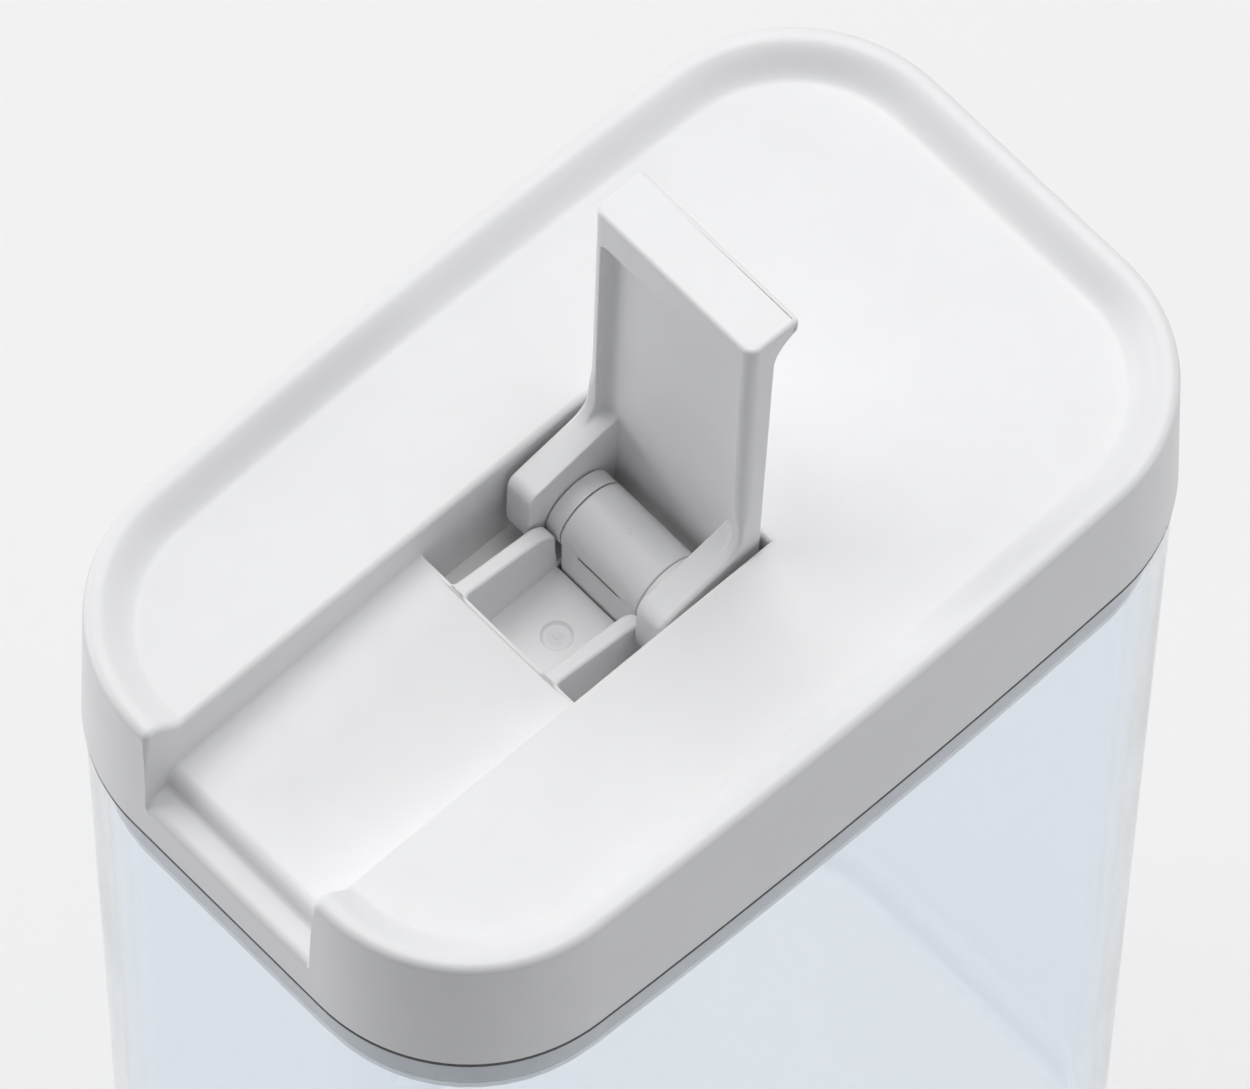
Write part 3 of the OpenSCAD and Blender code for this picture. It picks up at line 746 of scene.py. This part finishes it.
class CoverPlaces:
    """Where the cover's forms lie, worked out from its sizes. Heights are over the skirt's foot."""

    def __init__(self, s, v):
        lean = FOLD - pi / 2
        hinge = HINGE.z - SKIRT_Z
        self.high = LID_BOX[1].z - SKIRT_Z
        self.dish = self.high - s.dish_depth
        self.under = self.dish - s.wall
        self.under_in = s.draft + max(s.wall, s.rim_crest)
        self.half = LEVER_BOX[1].x + s.gap
        self.front = LID_BOX[0].y
        self.wall_y = self.front + s.front_back
        self.pocket_front = HINGE.y - s.pocket_reach
        self.pocket_back = HINGE.y + v.back * cos(lean) + (self.dish - hinge) * sin(lean) + FIT
        self.slot_floor = hinge - (v.cam_shut - v.cam_rise) - FIT
        self.rib_in = v.barrel_half + FIT
        self.rib_out = self.rib_in + s.rib
        self.barrel = s.pull_gap + BARREL_R
        self.rib_end = HINGE.y - self.barrel


class BuildLidCover(bpy.types.Operator):
    """Models the white cover: skirt, rim, dish, lever channel, finger ledge, pocket and ribs"""
    bl_idname = "container.lid_cover"
    bl_label = "Lid cover"

    def execute(self, context):
        s = context.scene.lid_sizes
        at = CoverPlaces(s, context.scene.lever_sizes)
        piece = self.shell(s, at)
        join(piece, self.underside(s, at))
        cut(piece, self.channel(s, at))
        for sign in (-1, 1):
            cut(piece, self.well("slot", s, at, sign * at.rib_out, sign * at.half, 0, at.slot_floor))
        cut(piece, self.well("pocket", s, at, -at.rib_in, at.rib_in, s.pocket_r, s.pocket_floor))
        cut(piece, block("opening", at.rib_in, at.barrel, s.pocket_floor - 2 * s.wall,
                         s.pocket_floor + CLEAR, SKIRT_Z))
        join(piece, self.posts(s, at))
        self.round_channel(piece, s, at)
        self.round_pocket(piece, s, at)
        cut(piece, self.mark(s))
        join(piece, nub("mark nub", s.mark_y, SKIRT_Z + s.pocket_floor - MARK_SINK))
        smooth(piece)
        finish_piece(piece, "lid", ["lid_cover"], white_plastic())
        return {"FINISHED"}

    def shell(self, s, at):
        """The skirt, the rim and the dish, with one wall all over."""
        outer = [(0, 0)]
        for k in range(RIM_STEPS + 1):
            a = pi / 2 * k / RIM_STEPS
            outer.append((s.draft + s.rim_r * (1 - cos(a)), at.high - s.rim_r * (1 - sin(a))))
        for k in range(SLOPE_STEPS + 1):
            t = k / SLOPE_STEPS
            outer.append((s.draft + s.rim_crest + s.rim_slope * t,
                          at.dish + s.dish_depth * (1 + cos(pi * t)) / 2))
        inner = [(s.wall, 0)]
        for k in range(UNDER_STEPS + 1):
            t = k / UNDER_STEPS
            inner.append((at.under_in + s.rim_slope * t,
                          at.under + s.dish_depth * (1 + cos(pi * t)) / 2))
        return moulding("cover", s, SKIRT_Z, outer, inner)

    def underside(self, s, at):
        """The material that carries the channel, the ledge and the pocket under the dish."""
        w = s.wall
        face = at.front + s.draft + w / 2
        return slab("underside", -at.half - w, at.half + w, [
            (face, at.high - w / 2), (face, s.ledge - s.ledge_r - w),
            (at.wall_y + w, s.ledge - w), (at.wall_y + w + s.deck_r, s.deck_front - w),
            (at.pocket_front - w, s.deck_back - w), (at.pocket_front - w, s.pocket_floor - w),
            (at.pocket_back + w, s.pocket_floor - w), (at.pocket_back + w, at.under + w / 2),
            (at.front + at.under_in + s.rim_slope, at.under + w / 2),
            (at.front + at.under_in, at.high - w / 2)])

    def channel(self, s, at):
        """What is cut out above the slots' floor, the ribs, the channel's floor and the ledge."""
        edge_z = s.ledge - s.ledge_fall
        foot_z = edge_z - 2 * s.ledge_r
        face = at.front + s.draft * edge_z / at.high
        foot = at.front + s.draft * foot_z / at.high - SLIVER
        points = [(at.pocket_back, at.slot_floor), (at.rib_end, at.slot_floor)]
        points += arc(at.rib_end - s.rib_end, s.deck_back - RIB_DROP - s.rib_end, s.rib_end,
                      0, RIB_TURN, 16)
        points += rounded([
            (at.pocket_front, s.deck_back, 0), (at.wall_y, s.deck_front, s.deck_r),
            (at.wall_y, s.ledge, s.ledge_fillet), (face - SLIVER, edge_z, s.ledge_r),
            (foot, foot_z, 0), (at.front - CLEAR, foot_z, 0),
            (at.front - CLEAR, at.high + CLEAR, 0), (at.pocket_back, at.high + CLEAR, 0)])
        tool = slab("channel", -at.half, at.half, points)
        edit(tool, "EDGE")
        pick(tool, "edges", lambda e: abs(e.verts[0].co.x - e.verts[1].co.x) < MERGE and all(
            p.co.y < at.rib_end + MERGE and p.co.z < SKIRT_Z + s.deck_back + MERGE for p in e.verts))
        bpy.ops.mesh.bevel(offset=s.foot_r, segments=4, affect="EDGES")
        alone(tool)
        return tool

    def well(self, name, s, at, x0, x1, other_r, floor):
        """A slot or the pocket between two sides, with its front corners rounded."""
        return upright(name, rounded([
            (x0, at.pocket_front, s.pocket_r), (x1, at.pocket_front, other_r),
            (x1, at.pocket_back, 0), (x0, at.pocket_back, 0)]), SKIRT_Z + floor, SKIRT_Z + at.high)

    def posts(self, s, at):
        """The six screw posts under the cover, as one mesh."""
        middle_x = LID_BOX[1].x - s.post_in
        reach = (s.corner_r - s.post_in) * cos(pi / 4)
        side_x = LID_BOX[1].x - s.side_bow - s.corner_r + reach
        side_y = LID_BOX[1].y - s.corner_r + reach
        places = [(x, y) for x in (-side_x, side_x) for y in (-side_y, side_y)]
        places += [(-middle_x, 0), (middle_x, 0)]
        low, high = -POST_FOOT, at.under + s.wall / 2
        posts = [cylinder("post", s.post_r, high - low, (x, y, SKIRT_Z + (high + low) / 2), steps=48)
                 for x, y in places]
        alone(posts[0])
        for post in posts:
            post.select_set(True)
        bpy.ops.object.join()
        return posts[0]

    def mark(self, s):
        """The round mould mark in the pocket's floor: a shallow ring round a raised middle."""
        flare = MARK_FLARE * s.mark_d
        rows = [(0, s.mark_d), (flare, 0)]
        rows += [(a * s.mark_r + flare, -b * s.mark_d) for a, b in MARK_RINGS]
        circle = [(x, y + s.mark_y) for x, y in arc(0, 0, s.mark_r + flare, 0, 352.5, 47)]
        piece = stepped("mark", circle, SKIRT_Z + s.pocket_floor, rows, -1)
        alone(piece)
        return piece

    def round_channel(self, piece, s, at):
        """Rounds the dish's and the rim's edges along the channel."""
        near = 0.02 * MM

        def top(a, b):
            low = min(a.z, b.z) > at.dish - near
            sides = abs(abs(a.x) - at.half) < near and abs(abs(b.x) - at.half) < near
            back = abs(a.y - at.pocket_back) < near and abs(b.y - at.pocket_back) < near
            return low and (sides or back)

        round_edges(piece, s.edge_r, top, 6)

    def round_pocket(self, piece, s, at):
        """Rounds the rims of the slots and the pocket, and the ribs' edges."""
        near = 0.05 * MM
        low = SKIRT_Z + at.slot_floor
        high = SKIRT_Z + s.deck_back

        def rim(a, b):
            inside = all(at.pocket_front - near < p.y < at.rib_end + near
                         and abs(p.x) < at.half - s.foot_r + near
                         and low - near < p.z < high + near for p in (a, b))
            return inside and max(a.z, b.z) > low + 0.5 * MM

        soften(piece, s.pocket_edge, rim, 4)


class BuildRimSeal(bpy.types.Operator):
    """Models the dark ring between the skirt and the container; its near-black colour is partly the
    seal's own dark grey and partly painted shade of the gap under the skirt
    """
    bl_idname = "container.rim_seal"
    bl_label = "Rim seal"

    def execute(self, context):
        s = context.scene.lid_sizes
        f = context.scene.finishes
        low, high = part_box("rim_seal")
        inset = LID_BOX[1].x - high.x
        piece = ring("dark_rim_seal", s, inset, s.seal_in - inset, low.z, high.z)
        smooth(piece)
        # Near-black: the seal's own dark grey, darkened further as painted shade of the gap under the
        # skirt.
        seal = rubber("dark seal", f.seal, f.seal_dull)
        finish_piece(piece, "lid", ["rim_seal"], seal)
        return {"FINISHED"}


class BuildGasket(bpy.types.Operator):
    """Models the pale gasket, which the plunger squeezes when the lever is shut"""
    bl_idname = "container.gasket"
    bl_label = "Gasket"

    def execute(self, context):
        s = context.scene.lid_sizes
        f = context.scene.finishes
        low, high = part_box("gasket")
        piece = ring("pale_gasket", s, LID_BOX[1].x - high.x, s.gasket_w, low.z, high.z)
        soften(piece, s.gasket_r, steps=6)
        smooth(piece)
        pale = rubber("pale gasket", f.gasket, f.gasket_dull)
        finish_piece(piece, "lid", ["gasket"], pale)
        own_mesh(piece)
        return {"FINISHED"}


class BuildLever(bpy.types.Operator):
    """Models the flip lever: panel, rails, flared lip, cam arms and bosses"""
    bl_idname = "container.lever"
    bl_label = "Flip lever"

    def execute(self, context):
        v = context.scene.lever_sizes
        half = LEVER_BOX[1].x
        root = v.back - v.thick
        tip = root - v.gain
        panel = v.back - v.panel
        arm_in = half - v.arm
        rail_in = half - v.rail
        tilt = atan((v.arm_back - v.arm_front) / (root + v.cam_shut))
        arm = self.arm(v, root, root, tilt)
        rise = v.gain / (v.reach + arm[0][0])
        start = self.cam(v) + self.heel(v) + self.lip(v)
        side = spread(start, POINT_GAP, False)
        side += [(-v.reach - OVERRUN, v.back + v.lip_h), (-v.reach - OVERRUN, tip - rise * OVERRUN)]
        near = (TIP_NEAR_MM * MM - v.reach, tip + rise * TIP_NEAR_MM * MM)
        side += spread([near] + arm, POINT_GAP, False)
        piece = pillow("lever", -half, half, side, self.rounding(v, side, root), 0)
        cut(piece, slab("end", -2 * half, 2 * half, [
            (-v.reach, -v.reach), (-v.reach, v.reach), (-v.reach - 2 * OVERRUN, v.reach),
            (-v.reach - 2 * OVERRUN, -v.reach)], 0))
        edit(piece, "EDGE")
        pick(piece, "edges", lambda e: all(abs(p.co.y + v.reach) < MERGE for p in e.verts)
             and e.calc_face_angle(0) > radians(60))
        bevel_picked(v.tip_edge, 5)
        hollow = self.recess(v, panel, tip, rise, root, tilt)
        recess = pillow("recess", -rail_in, rail_in, hollow, [v.recess_edge] * len(hollow), 0)
        end = v.strip - v.reach
        cut(recess, upright("recess plan", rounded([
            (-rail_in, end, v.recess_r), (rail_in, end, v.recess_r), (rail_in, v.back, 0),
            (-rail_in, v.back, 0)], 12), -v.reach, v.reach), "INTERSECT")
        cut(piece, recess)
        cut(piece, self.arm_gap(v, arm_in, panel, root, tilt))
        soften(piece, EDGE_BREAK)
        boss = v.barrel_half + BOSS_GAP
        for sign in (-1, 1):
            for r, end in ((v.boss_r, arm_in - BOSS_GROOVE_W),
                           (v.boss_r - BOSS_GROOVE_D, arm_in + v.arm / 2)):
                join(piece, cylinder("boss", r, end - boss, (sign * (boss + end) / 2, 0, 0), ALONG_X, 96))
        cut(piece, cylinder("pin hole", PIN_R + LEVER_PIN_FIT, 4 * half, (0, 0, 0), ALONG_X))
        piece.rotation_euler = (-FOLD, 0, 0)
        piece.location = HINGE
        alone(piece)
        bpy.ops.object.transform_apply()
        smooth(piece)
        finish_piece(piece, "lever", ["flip_lever"], white_plastic())
        return {"FINISHED"}

    def cam(self, v, steps=36):
        """The cam's face, which lifts the hinge evenly as the lever turns down."""
        k = v.cam_rise / FOLD
        points = []
        for i in range(steps + 1):
            b = FOLD * i / steps
            h = v.cam_shut - v.cam_rise * i / steps
            points.append((h * sin(b) - k * cos(b), -h * cos(b) - k * sin(b)))
        return points

    def heel(self, v):
        """The round back end, from the cam's face to the outer face."""
        start = FOLD * 180 / pi - 90 + acos((v.cam_shut - v.cam_rise) / v.back) * 180 / pi
        return arc(0, 0, v.back, start, 90, 24)

    def lip(self, v, steps=24):
        """The outer face and the slope up to the lip, with a soft edge on top."""
        foot = v.reach - v.lip_t - v.lip_slope
        most = radians(LIP_TURN)
        points = []
        for i in range(steps + 1):
            a = most * i / steps
            points.append((-foot - v.lip_slope * sin(a) / sin(most),
                           v.back + v.lip_h * (1 - cos(a)) / (1 - cos(most))))
        return points

    def arm(self, v, face, root, tilt, fillet=0):
        """The upper edge of an arm, from its fillet at a face to its lower front corner."""
        r = fillet or v.arm_fillet
        edge = v.arm_back + (face - r - root) * tan(tilt)
        corner = v.arm_front + v.arm_corner * tan(tilt)
        t = tilt * 180 / pi
        return arc(-edge - r / cos(tilt), face - r, r, 90, t, ARM_STEPS) + arc(
            v.arm_corner / cos(tilt) - corner, v.arm_corner - v.cam_shut, v.arm_corner, 180 + t, 270, 12)

    def arm_gap(self, v, arm_in, panel, root, tilt):
        """What is cut out between the two arms, under the panel and inside the heel."""
        left = self.arm(v, panel, root, tilt, v.root_r)[0][0]
        heel = v.back + HEEL_CLEAR
        back = v.back + BACK_CLEAR
        low = -v.cam_shut - CLEAR
        points = [(left, panel)] + arc(0, 0, panel, 90, HEEL_TURN, 12)
        points += [(heel * cos(radians(HEEL_TURN)), heel * sin(radians(HEEL_TURN)))]
        points += [(back, 0), (back, low), (left, low)]
        return slab("arm gap", -arm_in, arm_in, points, 0)

    def recess(self, v, panel, tip, rise, root, tilt):
        """The recess in the inner face, from the strip at the tip to the arms."""
        end = v.strip - v.reach
        floor = tip + rise * v.strip + v.let_in
        points = arc(end + v.let_in_r, floor - v.let_in_r, v.let_in_r, 180, 90, 8)
        points += self.arm(v, panel, root, tilt, v.root_r)[:ARM_STEPS + 1]
        y, z = self.arm(v, root, root, tilt)[ARM_STEPS]
        low = z - OVERRUN
        return points + [(y - 0.01 * MM, z - 0.2 * MM), (y - OVERRUN, low), (end, low)]

    def rounding(self, v, side, root):
        """The radius along the lever's two sides: wide on the rails, small elsewhere."""
        radii = [v.rail_r if z < root + MERGE and y < -v.arm_back - 2 * v.arm_fillet else v.edge_r
                 for y, z in side]
        return even(radii, side, RAIL_BLEND)


class BuildPullBlock(bpy.types.Operator):
    """Models the barrel that the lever pulls up, with its column and its foot"""
    bl_idname = "container.pull_block"
    bl_label = "Pull block"

    def execute(self, context):
        low, high = BLOCK_BOX
        v = context.scene.lever_sizes
        barrel_r = v.boss_r + BLOCK_SINK
        half = v.barrel_half
        piece = cylinder("barrel", barrel_r, 2 * half, HINGE, ALONG_X, 96)
        edit(piece, "EDGE")
        pick(piece, "edges", lambda e: e.calc_face_angle(0) > radians(60))
        bpy.ops.mesh.bevel(offset=BARREL_EDGE, segments=3, affect="EDGES")
        join(piece, self.box("column", half, barrel_r - BLOCK_SINK, low.z, HINGE.z, COLUMN_R))
        join(piece, self.box("foot", high.x, high.x, low.z, low.z + FOOT_H, FOOT_R))
        face = HINGE.y - barrel_r
        cut(piece, slab("groove", -GROOVE_HALF, GROOVE_HALF,
                        [(face + y * MM, z * MM) for y, z in GROOVE], HINGE.z))
        cut(piece, cylinder("pin hole", PIN_R + BLOCK_PIN_FIT, 6 * half, HINGE, ALONG_X))
        join(piece, nub("gate", HINGE.y, HINGE.z + barrel_r - GATE_SINK))
        piece.name = "pull_barrel"
        smooth(piece)
        finish_piece(piece, "plunger", ["pull_block"], white_plastic())
        return {"FINISHED"}

    def box(self, name, half_x, half_y, z0, z1, r):
        """A block with its upright edges rounded."""
        piece = block(name, half_x, half_y, z0, z1)
        edit(piece, "EDGE")
        pick(piece, "edges", lambda e: abs(e.verts[0].co.z - e.verts[1].co.z) > MERGE)
        bpy.ops.mesh.bevel(offset=r, segments=4, affect="EDGES")
        alone(piece)
        return piece


class FinishSmallParts(bpy.types.Operator):
    """Gives the frame, the plunger, the pin and the screws their materials"""
    bl_idname = "container.small_parts"
    bl_label = "Small parts"

    def execute(self, context):
        f = context.scene.finishes
        inner = plastic("inner plastic", f.inner, f.inner_satin)
        steel = metal("screw steel", f.steel, f.polish)
        looks = {"lid_frame": inner, "plunger_plate": inner, "pivot_pin": steel, "frame_screws": steel,
                 "block_screws": steel}
        for node, look in looks.items():
            mesh = frame["nodes"][node].data
            mesh.materials.clear()
            mesh.materials.append(look)
        return {"FINISHED"}


class BuildStage(bpy.types.Operator):
    """Adds the floor, the soft lights and the camera"""
    bl_idname = "container.stage"
    bl_label = "Studio"

    def execute(self, context):
        self.floor(context.scene.finishes.background)
        self.lights(context.scene.finishes.background)
        self.camera()
        context.scene.view_settings.view_transform = "Standard"
        return {"FINISHED"}

    def floor(self, background):
        """A pale floor that takes shadows, and shows at a plain tone to the camera and in the plastic."""
        alone()
        bpy.ops.mesh.primitive_plane_add(size=FLOOR_SIZE)
        floor = name_piece("floor")
        made, tree, shader = material("pale floor")
        shader.inputs["Roughness"].default_value = 0.9
        drift(tree, shader, background, scale=2, detail=3, darkest=0.98)
        glow = tree.nodes.new("ShaderNodeEmission")
        glow.inputs["Color"].default_value = (*background, 1)
        self.show(tree, FLOOR_GLOW, shader, glow, "Material Output")
        floor.data.materials.append(made)

    def show(self, tree, amount, real, shown, output):
        """Mixes what is shown over the real surface or light, by an amount."""
        mix = tree.nodes.new("ShaderNodeMixShader")
        tree.links.new(self.seen(tree, amount), mix.inputs["Fac"])
        tree.links.new(real.outputs[0], mix.inputs[1])
        tree.links.new(shown.outputs[0], mix.inputs[2])
        tree.links.new(mix.outputs["Shader"], tree.nodes[output].inputs["Surface"])

    def seen(self, tree, amount):
        """An amount for camera, glossy and transmitted rays, and zero for all others."""
        path = tree.nodes.new("ShaderNodeLightPath")
        total = path.outputs["Is Camera Ray"]
        for name in ("Is Glossy Ray", "Is Transmission Ray"):
            add = tree.nodes.new("ShaderNodeMath")
            add.operation = "ADD"
            add.use_clamp = True
            tree.links.new(total, add.inputs[0])
            tree.links.new(path.outputs[name], add.inputs[1])
            total = add.outputs["Value"]
        scale = tree.nodes.new("ShaderNodeMath")
        scale.operation = "MULTIPLY"
        scale.inputs[1].default_value = amount
        tree.links.new(total, scale.inputs[0])
        return scale.outputs["Value"]

    def lights(self, background):
        """A weak pale world, which shows as the background, and three area lamps."""
        world = bpy.data.worlds.new("studio")
        bpy.context.scene.world = world
        world.use_nodes = True
        tree = world.node_tree
        ambient = tree.nodes["Background"]
        ambient.inputs["Color"].default_value = AMBIENT
        ambient.inputs["Strength"].default_value = AMBIENT_STRENGTH
        shown = tree.nodes.new("ShaderNodeBackground")
        shown.inputs["Color"].default_value = (*background, 1)
        self.show(tree, 1, ambient, shown, "World Output")
        for name, place, size, power in LAMPS:
            alone()
            bpy.ops.object.light_add(type="AREA", location=place)
            lamp = bpy.context.object
            lamp.name = name
            lamp.data.size = size
            lamp.data.energy = power
            aim = LAMP_AIM - Vector(place)
            lamp.rotation_euler = aim.to_track_quat("-Z", "Y").to_euler()

    def camera(self):
        """A long lens, placed and rolled as in the photograph."""
        back = Vector((sin(AZIMUTH) * cos(ELEVATION), -cos(AZIMUTH) * cos(ELEVATION), sin(ELEVATION)))
        level = Vector((0, 0, 1)).cross(back).normalized()
        above = back.cross(level)
        right = level * cos(ROLL) + above * sin(ROLL)
        up = above * cos(ROLL) - level * sin(ROLL)
        place = Vector((0, 0, SKIRT_Z)) - right * SHIFT_RIGHT - up * SHIFT_UP + back * DISTANCE
        alone()
        bpy.ops.object.camera_add()
        camera = bpy.context.object
        turn = Matrix((right, up, back)).transposed()
        camera.matrix_world = Matrix.Translation(place) @ turn.to_4x4()
        camera.data.sensor_width = SENSOR
        camera.data.lens = LENS
        camera.data.clip_end = FAR
        bpy.context.scene.camera = camera


STEPS = [BuildContainer, BuildLidCover, BuildRimSeal, BuildGasket, BuildLever, BuildPullBlock,
         FinishSmallParts, BuildStage]


class ContainerPanel(bpy.types.Panel):
    bl_idname = "VIEW3D_PT_container"
    bl_label = "Lever lid container"
    bl_space_type = "VIEW_3D"
    bl_region_type = "UI"
    bl_category = "Container"

    def draw(self, context):
        for step in STEPS:
            self.layout.operator(step.bl_idname)
        for name, group in SETTINGS.items():
            box = self.layout.box()
            settings = getattr(context.scene, name)
            for field in group.__annotations__:
                box.prop(settings, field)


CLASSES = list(SETTINGS.values()) + STEPS + [ContainerPanel]


def register():
    for item in CLASSES:
        bpy.utils.register_class(item)
    for name, group in SETTINGS.items():
        setattr(bpy.types.Scene, name, bpy.props.PointerProperty(type=group))


def unregister():
    for name in SETTINGS:
        delattr(bpy.types.Scene, name)
    for item in reversed(CLASSES):
        bpy.utils.unregister_class(item)


def main():
    register()
    for step in STEPS:
        group, name = step.bl_idname.split(".")
        getattr(getattr(bpy.ops, group), name)()


if __name__ == "__main__":
    main()
